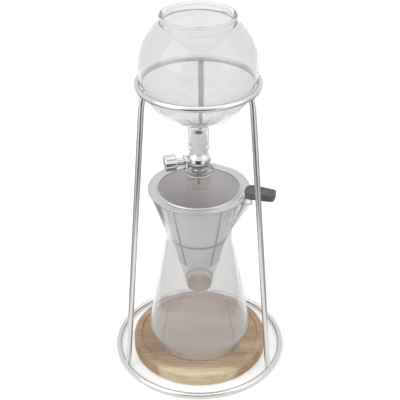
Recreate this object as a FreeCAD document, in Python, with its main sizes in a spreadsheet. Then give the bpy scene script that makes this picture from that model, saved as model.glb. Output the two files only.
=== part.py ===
"""Cold drip coffee tower: wire stand, wooden disc, carafe, cone filter and globe reservoir with a needle valve.

Millimetres. +Z is up and the origin lies on the table, at the middle of the base ring.
+X is to the right and -Y is the front, between the two front legs.
"""
import FreeCAD
import Part
import math
import os
import re

import Sketcher

doc = FreeCAD.newDocument("ColdDripTower")
sheet = doc.addObject("Spreadsheet::Sheet", "Sizes")

SIZES = [
    ("rod_diameter", 6.0, "stainless rod of the rings and legs"),
    ("base_ring_radius", 92.0, "centre line of the ring on the table"),
    ("top_ring_radius", 59.6, "centre line of the ring that carries the globe"),
    ("top_ring_height", 324.9, "centre line of the top ring above the table"),
    ("leg_foot_inset", 2.8, "foot of a leg inside the base ring's centre line"),
    ("leg_foot_height", 3.8, "end of a leg above the table"),
    ("leg_shoulder_offset", 1.5, "bend of a leg outside the top ring's centre line"),
    ("leg_shoulder_drop", 12.0, "bend of a leg below the top ring's centre line"),
    ("leg_end_inset", 0.4, "upper end of a leg inside the top ring's centre line"),
    ("leg_end_drop", 2.7, "upper end of a leg below the top ring's centre line"),
    ("front_leg_azimuth", -30.0, "right front leg, from +X"),
    ("wood_radius", 74.5, "outside of the wooden disc"),
    ("wood_thickness", 16.0, "disc from table to lip"),
    ("wood_recess_radius", 66.0, "shallow recess that centres the carafe"),
    ("wood_recess_depth", 2.0, "depth of that recess"),
    ("wood_top_round", 4.0, "rounding of the disc's upper edge"),
    ("wood_foot_round", 2.5, "rounding of the disc's lower edge"),
    ("carafe_wall", 2.0, "glass of the carafe"),
    ("carafe_floor", 2.4, "glass of the carafe's floor"),
    ("carafe_foot_radius", 52.0, "flat that the carafe stands on"),
    ("carafe_belly_radius", 57.2, "widest point of the carafe"),
    ("carafe_belly_height", 16.0, "widest point above the carafe's own foot"),
    ("carafe_heel_round", 8.0, "rounding between foot and belly"),
    ("carafe_waist_radius", 34.4, "meeting point of belly and mouth cones"),
    ("carafe_waist_drop", 54.7, "meeting point below the carafe's mouth"),
    ("carafe_waist_round", 46.0, "radius that softens the waist"),
    ("carafe_mouth_radius", 51.6, "outside of the carafe's mouth"),
    ("carafe_height", 191.7, "carafe from foot to mouth"),
    ("beak_reach", 64.0, "where the beak's outer line meets the mouth's height, from the axis"),
    ("beak_radius", 10.0, "half width of the beak at the mouth"),
    ("beak_depth", 12.0, "beak below the mouth"),
    ("beak_root_radius", 46.2, "foot of the beak from the axis"),
    ("beak_dip", 24.0, "downward slope of the beak's lip, in degrees"),
    ("beak_azimuth", -20.0, "direction of the beak, from +X"),
    ("seat_gap", 0.3, "gap under a part that is laid on a round edge"),
    ("lap_gap", 0.05, "gap between pieces that are lapped or pushed together"),
    ("running_gap", 0.05, "radial play of the turning spindle"),
    ("sheet_steel", 1.2, "thickness of the filter's flange and cap"),
    ("flange_radius", 52.4, "outside of the filter's flange"),
    ("flange_bead_radius", 1.3, "half-round bead round the filter's mouth"),
    ("filter_mouth_radius", 42.1, "opening of the filter"),
    ("filter_depth", 127.0, "filter from the flange to the tip"),
    ("filter_tip_radius", 12.2, "outside of the mesh cone at the tip"),
    ("mesh_thickness", 0.4, "woven steel mesh"),
    ("mesh_spacing", 0.5, "gap between the two mesh cones"),
    ("rib_thickness", 0.6, "strips round the mesh cone"),
    ("rib_width", 3.0, "width of a strip"),
    ("rib_count", 5, "upright strips round the cone"),
    ("first_rib_azimuth", -54.0, "one of the upright strips, from +X"),
    ("hoop_height", 55.5, "hoop below the flange"),
    ("hoop_width", 2.6, "height of the hoop"),
    ("cap_height", 40.0, "polished cap on the tip of the cone"),
    ("cap_round", 4.0, "rounding of the cap's lower edge"),
    ("handle_azimuth", -16.0, "direction of the filter's handle, from +X"),
    ("tab_width", 12.0, "steel tab in the handle"),
    ("tab_foot_length", 2.2, "part of the tab that is welded on the flange"),
    ("tab_rise_length", 1.5, "slanting part of the tab between flange and grip"),
    ("tab_end", 74.0, "outer end of the tab from the axis"),
    ("grip_start", 49.8, "inner end of the grip from the axis"),
    ("grip_end", 81.0, "outer end of the grip from the axis"),
    ("grip_width", 19.5, "width of the grip"),
    ("grip_outer_width", 13.5, "width of the grip at its outer end"),
    ("grip_thickness", 7.5, "thickness of the grip"),
    ("grip_inner_round", 7.5, "rounding of the grip's inner end seen from above"),
    ("grip_outer_round", 3.6, "rounding of its outer corners seen from above"),
    ("grip_round", 1.6, "rounding of the grip's edges"),
    ("grip_panel_margin", 3.0, "border round the sunken panel on the grip"),
    ("grip_panel_depth", 0.6, "depth of that panel"),
    ("globe_overlap", 1.8, "outside of the globe beyond the bore of the top ring"),
    ("globe_wall", 2.2, "glass of the globe"),
    ("globe_neck_radius", 36.0, "outside of the short filling neck"),
    ("globe_lip_radius", 2.2, "half thickness of the rolled lip"),
    ("globe_neck_height", 5.4, "lip centre above the globe's shoulder"),
    ("outlet_radius", 10.2, "outside of the glass outlet tube"),
    ("outlet_wall", 1.6, "glass of the outlet tube"),
    ("outlet_length", 31.0, "outlet tube below the globe"),
    ("outlet_bead_height", 7.0, "height of the bead at the end of the outlet"),
    ("outlet_bead_round", 6.2, "radius that the bead is rounded with"),
    ("stopper_length", 21.0, "silicone stopper in the outlet"),
    ("stopper_drop", 3.2, "stopper below the end of the outlet"),
    ("inlet_tube_radius", 4.6, "outside of the valve's inlet tube"),
    ("inlet_bore_radius", 3.5, "bore of that tube"),
    ("inlet_tube_rise", 0.6, "tube above the stopper"),
    ("socket_depth", 5.0, "seat of a tube in the valve body"),
    ("valve_neck_radius", 9.6, "top of the valve body"),
    ("valve_radius", 12.3, "widest part of the valve body"),
    ("valve_foot_radius", 9.0, "bottom of the valve body"),
    ("valve_height", 17.0, "valve body from top to bottom"),
    ("valve_axis_drop", 10.0, "spindle below the top of the valve body"),
    ("valve_upper_round", 13.5, "curve of the body above the spindle"),
    ("valve_lower_round", 9.0, "curve of the body below the spindle"),
    ("boss_radius", 6.6, "side boss of the valve body"),
    ("boss_reach", 12.9, "end of the side boss from the axis"),
    ("drill_radius", 1.2, "passages in the valve body"),
    ("inlet_drill_offset", 3.3, "inlet passage beside the valve's middle"),
    ("seat_radius", 1.0, "needle seat"),
    ("seat_reach", 1.8, "end of the needle seat from the axis"),
    ("packing_depth", 4.4, "recess for the seal and the gland nut"),
    ("packing_radius", 4.5, "radius of that recess"),
    ("spindle_radius", 2.5, "turning spindle"),
    ("needle_radius", 1.6, "shank of the needle"),
    ("needle_tip_length", 1.6, "tapered tip of the needle inside the seat"),
    ("needle_end", 7.0, "outer end of the needle from the axis"),
    ("seal_section", 1.8, "section of the seal ring round the spindle"),
    ("gland_flats", 13.6, "gland nut across flats"),
    ("gland_thickness", 2.6, "hexagon of the gland nut"),
    ("gland_spigot", 2.2, "part of the gland nut inside the boss"),
    ("hub_gap", 0.3, "gap between the gland nut and the knob's hub"),
    ("hub_radius", 3.8, "hub of the knob"),
    ("knob_start", 23.4, "inner face of the knob from the axis"),
    ("knob_end", 35.5, "outer face of the knob from the axis"),
    ("knob_radius", 8.6, "radius of the knob"),
    ("knob_round", 1.4, "rounding of the knob's edges"),
    ("knob_bore_depth", 10.0, "seat of the spindle in the knob"),
    ("knob_azimuth", 193.5, "direction of the knob, from +X"),
    ("screw_radius", 1.5, "grub screw in the knob"),
    ("screw_length", 4.6, "length of the grub screw"),
    ("screw_inset", 6.0, "grub screw from the knob's inner face"),
    ("nut_radius", 8.4, "collar nut under the valve body"),
    ("nut_height", 5.2, "height of the collar nut"),
    ("nut_round", 1.2, "rounding of the collar nut"),
    ("nozzle_radius", 3.1, "drip nozzle"),
    ("nozzle_bore", 1.0, "bore radius of the drip nozzle"),
    ("nozzle_length", 8.0, "straight part below the collar nut"),
    ("tip_radius", 1.5, "end of the drip nozzle"),
    ("tip_length", 7.0, "tapered part of the drip nozzle"),
    ("shroud_wall", 1.4, "clear drip shroud"),
    ("shroud_top_radius", 13.0, "shroud at its top"),
    ("shroud_bottom_radius", 12.4, "shroud at its lower end"),
    ("shroud_lip_radius", 15.6, "flared lip of the shroud"),
    ("shroud_lip_rise", 2.4, "lip above the shroud's top plate"),
    ("shroud_length", 16.0, "shroud below its top plate"),
]

for row, (alias, value, note) in enumerate(SIZES, start=1):
    sheet.set(f"A{row}", alias)
    sheet.set(f"B{row}", str(value))
    sheet.set(f"C{row}", note)
    sheet.setAlias(f"B{row}", alias)
doc.recompute()

ALIASES = {alias for alias, value, note in SIZES}

# Places that several pieces share, worked out from the sheet.
TOP_OF_TABLE = "0"
CARAFE_FOOT = "(wood_thickness - wood_recess_depth)"
CARAFE_MOUTH = f"({CARAFE_FOOT} + carafe_height)"
FLANGE_UNDER = f"({CARAFE_MOUTH} + seat_gap)"
FLANGE_TOP = f"({FLANGE_UNDER} + sheet_steel)"
FILTER_TIP = f"({FLANGE_TOP} - filter_depth)"
FLANGE_BEAD_END = "(filter_mouth_radius + 2 * flange_bead_radius)"
GRIP_CENTRE = f"({FLANGE_TOP} + seat_gap + grip_thickness / 2)"
MESH_TOP_RADIUS = "(filter_mouth_radius + 2 * mesh_thickness + mesh_spacing)"
MESH_BOTTOM = f"({FILTER_TIP} + cap_round + lap_gap)"
MESH_SLOPE = f"(({MESH_TOP_RADIUS} - filter_tip_radius) / ({FLANGE_UNDER} - {FILTER_TIP}))"
GLOBE_RADIUS = "(top_ring_radius - rod_diameter / 2 + globe_overlap)"
GLOBE_REST = f"({GLOBE_RADIUS} + rod_diameter / 2 + seat_gap)"
GLOBE_CENTRE = f"(top_ring_height + sqrt({GLOBE_REST} ^ 2 - top_ring_radius ^ 2))"
OUTLET_HOLE = "(outlet_radius + lap_gap)"
OUTLET_ROOT = f"({GLOBE_CENTRE} - sqrt({GLOBE_RADIUS} ^ 2 - {OUTLET_HOLE} ^ 2))"
OUTLET_END = f"({OUTLET_ROOT} - outlet_length)"
OUTLET_BORE = "(outlet_radius - outlet_wall)"
VALVE_TOP = f"({OUTLET_END} - stopper_drop)"
VALVE_BOTTOM = f"({VALVE_TOP} - valve_height)"
SPINDLE_HEIGHT = f"({VALVE_TOP} - valve_axis_drop)"
NUT_UNDER = f"({VALVE_BOTTOM} - nut_height)"
SHROUD_PLATE_UNDER = f"({NUT_UNDER} - shroud_wall)"


def bound(text):
    """Turn the alias words of a formula into references to the sheet."""
    return re.sub(r"[a-z_]+", lambda word: f"Sizes.{word.group()}" if word.group() in ALIASES else word.group(), text)


def size(text):
    """Value of a formula, in millimetres or degrees."""
    value = sheet.evalExpression(bound(text))
    return float(getattr(value, "Value", value))


def bind(feature, prop, text):
    """Tie a property to a formula of sheet values."""
    feature.setExpression(prop, bound(text))


def origin_plane(body, role):
    """Origin plane of a body, such as XZ_Plane."""
    return next(item for item in body.Origin.OriginFeatures if item.Role == role)


def new_body(label):
    """Empty body whose label names the sub-part."""
    body = doc.addObject("PartDesign::Body", label)
    body.Label = label
    return body


def place(piece, height="0", azimuth=None):
    """Raise a sub-part to a height, and turn it about Z."""
    piece.Placement = FreeCAD.Placement(FreeCAD.Vector(0, 0, 0), FreeCAD.Rotation(FreeCAD.Vector(0, 0, 1), 0))
    bind(piece, "Placement.Base.z", height)
    if azimuth:
        piece.Placement.Rotation = FreeCAD.Rotation(FreeCAD.Vector(0, 0, 1), size(azimuth))
        bind(piece, "Placement.Rotation.Angle", azimuth)


def new_sketch(body, role="XZ_Plane"):
    """Sketch on an origin plane of its own body."""
    sketch = body.newObject("Sketcher::SketchObject", "Sketch")
    sketch.AttachmentSupport = [(origin_plane(body, role), "")]
    sketch.MapMode = "FlatFace"
    return sketch


def pin_point(sketch, geometry, position, across, along, name):
    """Fix a point of a sketch at two formulas, measured from the origin."""
    for kind, text, axis in (("DistanceX", across, -2), ("DistanceY", along, -1)):
        if text == "0":
            sketch.addConstraint(Sketcher.Constraint("PointOnObject", geometry, position, axis))
            continue
        index = sketch.addConstraint(Sketcher.Constraint(kind, -1, 1, geometry, position, size(text)))
        label = f"{name}_{kind[-1].lower()}"
        sketch.renameConstraint(index, label)
        bind(sketch, f"Constraints.{label}", text)


def arc_between(start, end, radius, turn, large):
    """Arc from start to end. turn is 1 for counter-clockwise and -1 for clockwise."""
    chord = end - start
    half = chord.Length / 2
    rise = math.sqrt(max(radius * radius - half * half, 0.0))
    left = FreeCAD.Vector(-chord.y, chord.x, 0).normalize()
    side = turn if not large else -turn
    centre = start + chord * 0.5 + left * rise * side
    first, last = (start, end) if turn > 0 else (end, start)
    angles = [math.atan2(point.y - centre.y, point.x - centre.x) for point in (first, last)]
    if angles[1] < angles[0]:
        angles[1] += 2 * math.pi
    return Part.ArcOfCircle(Part.Circle(centre, FreeCAD.Vector(0, 0, 1), radius), *angles)


def draw_outline(sketch, corners, closed=True):
    """Lines and arcs through the corners, each corner tied to its two formulas.

    A corner is (across, along), or (across, along, radius, turn[, large]) where an arc leads to it.
    """
    spots = [FreeCAD.Vector(size(corner[0]), size(corner[1]), 0) for corner in corners]
    ends = []
    for index, corner in enumerate(corners):
        if index == 0 and not closed:
            continue
        start = spots[index - 1]
        if len(corner) > 2:
            turn = corner[3]
            large = len(corner) > 4
            number = sketch.addGeometry(arc_between(start, spots[index], size(corner[2]), turn, large), False)
            ends.append((number, 1, 2) if turn > 0 else (number, 2, 1))
        else:
            number = sketch.addGeometry(Part.LineSegment(start, spots[index]), False)
            ends.append((number, 1, 2))
    for before, after in zip(ends, ends[1:]):
        sketch.addConstraint(Sketcher.Constraint("Coincident", before[0], before[2], after[0], after[1]))
    if closed:
        sketch.addConstraint(Sketcher.Constraint("Coincident", ends[-1][0], ends[-1][2], ends[0][0], ends[0][1]))
    shown = corners if closed else corners[1:]
    for index, (corner, (number, first, last)) in enumerate(zip(shown, ends)):
        pin_point(sketch, number, last, corner[0], corner[1], f"corner{index}")
        if len(corner) > 2:
            constraint = sketch.addConstraint(Sketcher.Constraint("Radius", number, size(corner[2])))
            sketch.renameConstraint(constraint, f"round{index}")
            bind(sketch, f"Constraints.round{index}", corner[2])
    if not closed:
        pin_point(sketch, ends[0][0], ends[0][1], corners[0][0], corners[0][1], "start")


def turned(body, corners, axis="V_Axis", kind="PartDesign::Revolution"):
    """Full turn of an outline about the upright axis, or about X for axis H_Axis."""
    sketch = new_sketch(body)
    draw_outline(sketch, corners)
    feature = body.newObject(kind, "Turned")
    feature.Profile = sketch
    feature.ReferenceAxis = (sketch, [axis])
    feature.Angle = 360
    return feature


def round_edges(body, feature, spots, radius):
    """Round the circular edges at the given (radius, height) spots of a turned feature."""
    doc.recompute()
    names = []
    for number, edge in enumerate(feature.Shape.Edges, start=1):
        if not isinstance(edge.Curve, Part.Circle):
            continue
        for edge_radius, height in spots:
            near_radius = abs(edge.Curve.Radius - size(edge_radius)) < 0.001
            if near_radius and abs(edge.Curve.Center.z - size(height)) < 0.001:
                names.append(f"Edge{number}")
    fillet = body.newObject("PartDesign::Fillet", "Rounded")
    fillet.Base = (feature, names)
    bind(fillet, "Radius", radius)
    return fillet


def rod_ring(label, radius, height):
    """Closed ring of stainless rod."""
    ring = doc.addObject("Part::Torus", label)
    ring.Label = label
    bind(ring, "Radius1", radius)
    bind(ring, "Radius2", "rod_diameter / 2")
    place(ring, height)
    return ring


def rod_run(body, start, end, rounded):
    """Straight run of rod in the XZ plane, with a round far end where the next run begins."""
    run = f"sqrt(({end[0]} - ({start[0]})) ^ 2 + ({end[1]} - ({start[1]})) ^ 2)"
    across = f"(rod_diameter / 2 * ({end[1]} - ({start[1]})) / {run})"
    along = f"(rod_diameter / 2 * ({start[0]} - ({end[0]})) / {run})"
    corners = [start, (f"{start[0]} + {across}", f"{start[1]} + {along}"),
               (f"{end[0]} + {across}", f"{end[1]} + {along}")]
    if rounded:
        tip = (f"{end[0]} - {along}", f"{end[1]} + {across}")
        corners += [(*tip, "rod_diameter / 2", 1)]
    else:
        corners += [end]
    sketch = new_sketch(body)
    draw_outline(sketch, corners)
    axis = Part.LineSegment(*[FreeCAD.Vector(size(spot[0]), size(spot[1]), 0) for spot in (start, end)])
    number = sketch.addGeometry(axis, True)
    pin_point(sketch, number, 1, *start, "axis_start")
    pin_point(sketch, number, 2, *end, "axis_end")
    feature = body.newObject("PartDesign::Revolution", "Run")
    feature.Profile = sketch
    feature.ReferenceAxis = (sketch, ["Axis0"])
    feature.Angle = 360


def leg(label, azimuth, rings):
    """Leaning rod with a slight bend below the top ring, its ends shaped to both rings."""
    rod = new_body(f"{label}_rod")
    foot = ("base_ring_radius - leg_foot_inset", "leg_foot_height")
    shoulder = ("top_ring_radius + leg_shoulder_offset", "top_ring_height - leg_shoulder_drop")
    end = ("top_ring_radius - leg_end_inset", "top_ring_height - leg_end_drop")
    rod_run(rod, foot, shoulder, rounded=True)
    rod_run(rod, shoulder, end, rounded=False)
    place(rod, "0", azimuth)
    lower = doc.addObject("Part::Cut", f"{label}_on_base")
    lower.Base = rod
    lower.Tool = rings[0]
    upper = doc.addObject("Part::Cut", label)
    upper.Label = label
    upper.Base = lower
    upper.Tool = rings[1]
    return upper


def wood_base():
    """Round wooden disc with a shallow recess for the carafe."""
    body = new_body("wood_base")
    disc = turned(body, [
        ("0", TOP_OF_TABLE),
        ("wood_radius", TOP_OF_TABLE),
        ("wood_radius", "wood_thickness"),
        ("wood_recess_radius", "wood_thickness"),
        ("wood_recess_radius", CARAFE_FOOT),
        ("0", CARAFE_FOOT),
    ])
    softened = round_edges(body, disc, [("wood_radius", "wood_thickness")], "wood_top_round")
    round_edges(body, softened, [("wood_radius", TOP_OF_TABLE)], "wood_foot_round")
    return body


def carafe_solid(label, inset, floor):
    """Solid of the carafe's outer shape, or of its room when it is inset by the glass."""
    body = new_body(label)
    belly_height = f"{CARAFE_FOOT} + carafe_belly_height"
    waist_height = f"{CARAFE_MOUTH} - carafe_waist_drop"
    solid = turned(body, [
        ("0", f"{CARAFE_FOOT} + {floor}"),
        (f"carafe_foot_radius - {inset}", f"{CARAFE_FOOT} + {floor}"),
        (f"carafe_belly_radius - {inset}", belly_height),
        (f"carafe_waist_radius - {inset}", waist_height),
        (f"carafe_mouth_radius - {inset}", CARAFE_MOUTH),
        ("0", CARAFE_MOUTH),
    ])
    waist = round_edges(body, solid, [(f"carafe_waist_radius - {inset}", waist_height)],
                        f"carafe_waist_round + {inset}")
    belly = round_edges(body, waist, [(f"carafe_belly_radius - {inset}", belly_height)],
                        f"2 * carafe_heel_round - {inset}")
    round_edges(body, belly, [(f"carafe_foot_radius - {inset}", f"{CARAFE_FOOT} + {floor}")],
                f"carafe_heel_round / 2 - {inset} / 2")
    return body


def beak_cone(label, inset):
    """Leaning cone that widens the mouth into a pouring beak."""
    cone = doc.addObject("Part::Cone", label)
    lean = "atan((beak_reach - beak_radius - beak_root_radius) / beak_depth)"
    overrun = 1.3  # share of the depth at which the cone ends, above the mouth
    cone.Radius1 = 0
    bind(cone, "Radius2", f"beak_radius * {overrun} - {inset}")
    bind(cone, "Height", f"beak_depth * {overrun} / cos({lean})")
    azimuth = size("beak_azimuth")
    tilt = FreeCAD.Rotation(FreeCAD.Vector(0, 1, 0), size(lean))
    turn = FreeCAD.Rotation(FreeCAD.Vector(0, 0, 1), azimuth)
    cone.Placement = FreeCAD.Placement(FreeCAD.Vector(0, 0, 0), turn.multiply(tilt))
    bind(cone, "Placement.Base.x", "beak_root_radius * cos(beak_azimuth)")
    bind(cone, "Placement.Base.y", "beak_root_radius * sin(beak_azimuth)")
    bind(cone, "Placement.Base.z", f"{CARAFE_MOUTH} - beak_depth")
    return cone


def above_beak():
    """Room above the beak's lip, which slopes down to its tip."""
    body = new_body("above_beak")
    sketch = new_sketch(body)
    inner_edge = "(carafe_mouth_radius - carafe_wall)"
    draw_outline(sketch, [
        ("0", CARAFE_MOUTH),
        (inner_edge, CARAFE_MOUTH),
        (f"2 * {inner_edge}", f"{CARAFE_MOUTH} - {inner_edge} * tan(beak_dip)"),
        (f"2 * {inner_edge}", f"{CARAFE_MOUTH} + {inner_edge}"),
        ("0", f"{CARAFE_MOUTH} + {inner_edge}"),
    ])
    room = body.newObject("PartDesign::Pad", "Room")
    room.Profile = sketch
    bind(room, "Length", "2 * beak_reach")
    room.Midplane = True
    place(body, "0", "beak_azimuth")
    return body


def carafe_glass():
    """Glass carafe: wide foot, narrow waist and open mouth with a beak."""
    beak = doc.addObject("Part::Cut", "beak_outside")
    beak.Base = beak_cone("beak_outer", "0")
    beak.Tool = above_beak()
    shell = doc.addObject("Part::MultiFuse", "carafe_outside")
    shell.Shapes = [carafe_solid("carafe_outer", "0", "0"), beak]
    room = doc.addObject("Part::MultiFuse", "carafe_room")
    room.Shapes = [carafe_solid("carafe_inner", "carafe_wall", "carafe_floor"),
                   beak_cone("beak_inner", "carafe_wall")]
    above = doc.addObject("Part::Box", "above_mouth")
    for prop in ("Length", "Width", "Height"):
        bind(above, prop, "4 * beak_reach")
    bind(above, "Placement.Base.x", "-2 * beak_reach")
    bind(above, "Placement.Base.y", "-2 * beak_reach")
    bind(above, "Placement.Base.z", CARAFE_MOUTH)
    trimmed = doc.addObject("Part::Cut", "carafe_trimmed")
    trimmed.Base = shell
    trimmed.Tool = above
    glass = doc.addObject("Part::Cut", "carafe_glass")
    glass.Label = "carafe_glass"
    glass.Base = trimmed
    glass.Tool = room
    return glass


def cone_radius(height, outset="0"):
    """Radius of the outer mesh's outside at a height, moved outwards by the outset."""
    return f"(filter_tip_radius + {MESH_SLOPE} * ({height} - {FILTER_TIP}) + {outset})"


def filter_rim():
    """Flat steel flange with a half-round bead round the filter's mouth."""
    body = new_body("filter_rim")
    just_under_half_round = 1.02
    turned(body, [
        ("filter_mouth_radius", FLANGE_UNDER),
        ("flange_radius", FLANGE_UNDER),
        ("flange_radius", FLANGE_TOP, "sheet_steel / 2", 1),
        (FLANGE_BEAD_END, FLANGE_TOP),
        ("filter_mouth_radius", FLANGE_TOP, f"flange_bead_radius * {just_under_half_round}", 1),
    ])
    return body


def mesh_cone(label, inset):
    """One cone of woven steel mesh, open at both ends."""
    body = new_body(label)
    turned(body, [
        (cone_radius(MESH_BOTTOM, f"-{inset}"), MESH_BOTTOM),
        (cone_radius(FLANGE_UNDER, f"-{inset}"), FLANGE_UNDER),
        (cone_radius(FLANGE_UNDER, f"-{inset} - mesh_thickness"), FLANGE_UNDER),
        (cone_radius(MESH_BOTTOM, f"-{inset} - mesh_thickness"), MESH_BOTTOM),
    ])
    return body


def filter_frame():
    """Upright strips and one hoop that hold the mesh in shape."""
    body = new_body("filter_frame")
    hoop_top = f"({FLANGE_UNDER} - hoop_height + hoop_width / 2)"
    hoop_bottom = f"({FLANGE_UNDER} - hoop_height - hoop_width / 2)"
    near = "lap_gap"
    far = "lap_gap + rib_thickness"
    turned(body, [
        (cone_radius(hoop_bottom, near), hoop_bottom),
        (cone_radius(hoop_bottom, far), hoop_bottom),
        (cone_radius(hoop_top, far), hoop_top),
        (cone_radius(hoop_top, near), hoop_top),
    ])
    rib_foot = f"({FILTER_TIP} + cap_height + lap_gap)"
    sketch = new_sketch(body)
    draw_outline(sketch, [
        (cone_radius(rib_foot, near), rib_foot),
        (cone_radius(rib_foot, far), rib_foot),
        (cone_radius(FLANGE_UNDER, far), FLANGE_UNDER),
        (cone_radius(FLANGE_UNDER, near), FLANGE_UNDER),
    ])
    rib = body.newObject("PartDesign::Pad", "Rib")
    rib.Profile = sketch
    bind(rib, "Length", "rib_width")
    rib.Midplane = True
    ribs = body.newObject("PartDesign::PolarPattern", "Ribs")
    ribs.Originals = [rib]
    ribs.Axis = (sketch, ["V_Axis"])
    ribs.Angle = 360
    bind(ribs, "Occurrences", "rib_count")
    body.Tip = ribs
    place(body, "0", "first_rib_azimuth")
    return body


def filter_cap():
    """Polished steel cup on the tip of the cone."""
    body = new_body("filter_cap")
    rim = f"({FILTER_TIP} + cap_height)"
    floor = f"({FILTER_TIP} + sheet_steel)"
    cup = turned(body, [
        ("0", FILTER_TIP),
        (cone_radius(FILTER_TIP, "lap_gap + rib_thickness"), FILTER_TIP),
        (cone_radius(rim, "lap_gap + rib_thickness"), rim),
        (cone_radius(rim, "lap_gap"), rim),
        (cone_radius(floor, "lap_gap"), floor),
        ("0", floor),
    ])
    outside = round_edges(body, cup, [(cone_radius(FILTER_TIP, "lap_gap + rib_thickness"), FILTER_TIP)],
                          "cap_round")
    round_edges(body, outside, [(cone_radius(floor, "lap_gap"), floor)], "cap_round - sheet_steel")
    return body


def handle_tab():
    """Steel tab, welded on the flange, that rises into the grip."""
    body = new_body("handle_tab")
    under = f"({GRIP_CENTRE} - sheet_steel / 2)"
    over = f"({GRIP_CENTRE} + sheet_steel / 2)"
    bend = f"({FLANGE_BEAD_END} + tab_foot_length)"
    sketch = new_sketch(body)
    draw_outline(sketch, [
        (FLANGE_BEAD_END, FLANGE_TOP),
        (bend, FLANGE_TOP),
        (f"{bend} + tab_rise_length", under),
        ("tab_end", under),
        ("tab_end", over),
        (f"{bend} + tab_rise_length - sheet_steel / 2", over),
        (f"{bend} - sheet_steel / 2", f"{FLANGE_TOP} + sheet_steel"),
        (FLANGE_BEAD_END, f"{FLANGE_TOP} + sheet_steel"),
    ])
    strip = body.newObject("PartDesign::Pad", "Strip")
    strip.Profile = sketch
    bind(strip, "Length", "tab_width")
    strip.Midplane = True
    place(body, "0", "handle_azimuth")
    return body


def handle_grip():
    """Rubber grip pushed over the tab, with rounded ends and a sunken panel on top."""
    body = new_body("handle_grip")
    half = "grip_width / 2"
    outer_half = "grip_outer_width / 2"
    sketch = new_sketch(body, "XY_Plane")
    draw_outline(sketch, [
        ("grip_start", f"-{half}"),
        ("grip_end", f"-{outer_half}"),
        ("grip_end", outer_half),
        ("grip_start", half),
    ])
    block = body.newObject("PartDesign::Pad", "Block")
    block.Profile = sketch
    bind(block, "Length", "grip_thickness")
    block.Midplane = True
    corners = block
    for label, end, radius in (("InnerEnd", "grip_start", "grip_inner_round"),
                               ("OuterEnd", "grip_end", "grip_outer_round")):
        doc.recompute()
        upright = [f"Edge{number}" for number, edge in enumerate(corners.Shape.Edges, start=1)
                   if abs(edge.tangentAt(edge.FirstParameter).z) > 0.999
                   and abs(edge.Vertexes[0].X - size(end)) < 0.001]
        fillet = body.newObject("PartDesign::Fillet", label)
        fillet.Base = (corners, upright)
        bind(fillet, "Radius", radius)
        corners = fillet
    doc.recompute()
    flat = [f"Face{number}" for number, face in enumerate(corners.Shape.Faces, start=1)
            if abs(abs(face.normalAt(0, 0).z) - 1) < 0.001]
    rounded = body.newObject("PartDesign::Fillet", "Rounded")
    rounded.Base = (corners, flat)
    bind(rounded, "Radius", "grip_round")
    panel_sketch = new_sketch(body, "XY_Plane")
    bind(panel_sketch, "AttachmentOffset.Base.z", "grip_thickness / 2")
    draw_outline(panel_sketch, [
        ("grip_start + 2 * grip_panel_margin", f"-{half} + grip_panel_margin"),
        ("grip_end - grip_panel_margin", f"-{outer_half} + grip_panel_margin"),
        ("grip_end - grip_panel_margin", f"{outer_half} - grip_panel_margin"),
        ("grip_start + 2 * grip_panel_margin", f"{half} - grip_panel_margin"),
    ])
    panel = body.newObject("PartDesign::Pocket", "Panel")
    panel.Profile = panel_sketch
    bind(panel, "Length", "grip_panel_depth")
    slot_sketch = new_sketch(body, "XY_Plane")
    bind(slot_sketch, "AttachmentOffset.Base.z", "-sheet_steel / 2 - lap_gap")
    draw_outline(slot_sketch, [
        ("grip_start - grip_width", "-tab_width / 2 - lap_gap"),
        ("tab_end + lap_gap", "-tab_width / 2 - lap_gap"),
        ("tab_end + lap_gap", "tab_width / 2 + lap_gap"),
        ("grip_start - grip_width", "tab_width / 2 + lap_gap"),
    ])
    slot = body.newObject("PartDesign::Pocket", "Slot")
    slot.Profile = slot_sketch
    slot.Reversed = True
    bind(slot, "Length", "sheet_steel + 2 * lap_gap")
    place(body, GRIP_CENTRE, "handle_azimuth")
    return body


def reservoir_globe():
    """Blown glass globe with a short neck, a rolled lip and a hole for the outlet tube."""
    body = new_body("reservoir_globe")
    inner = f"({GLOBE_RADIUS} - globe_wall)"
    neck_bore = "(globe_neck_radius - globe_wall)"
    shoulder = f"({GLOBE_CENTRE} + sqrt({GLOBE_RADIUS} ^ 2 - globe_neck_radius ^ 2))"
    inner_shoulder = f"({GLOBE_CENTRE} + sqrt({inner} ^ 2 - {neck_bore} ^ 2))"
    lip_centre = f"({shoulder} + globe_neck_height)"
    lip_foot = f"({lip_centre} - sqrt(globe_lip_radius ^ 2 - (globe_wall / 2) ^ 2))"
    inner_root = f"({GLOBE_CENTRE} - sqrt({inner} ^ 2 - {OUTLET_HOLE} ^ 2))"
    turned(body, [
        (OUTLET_HOLE, inner_root, inner, -1),
        (OUTLET_HOLE, OUTLET_ROOT),
        ("globe_neck_radius", shoulder, GLOBE_RADIUS, 1),
        ("globe_neck_radius", lip_foot),
        (neck_bore, lip_foot, "globe_lip_radius", 1, "large"),
        (neck_bore, inner_shoulder),
    ])
    return body


def outlet_tube():
    """Glass tube, sealed into the bottom of the globe, with a bead at its end."""
    body = new_body("outlet_tube")
    turned(body, [
        (OUTLET_BORE, OUTLET_END),
        ("outlet_radius - outlet_wall / 3", OUTLET_END),
        ("outlet_radius", f"{OUTLET_END} + outlet_bead_height", "outlet_bead_round", 1),
        ("outlet_radius", f"{OUTLET_ROOT} + globe_wall"),
        (OUTLET_BORE, f"{OUTLET_ROOT} + globe_wall"),
    ])
    return body


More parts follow.
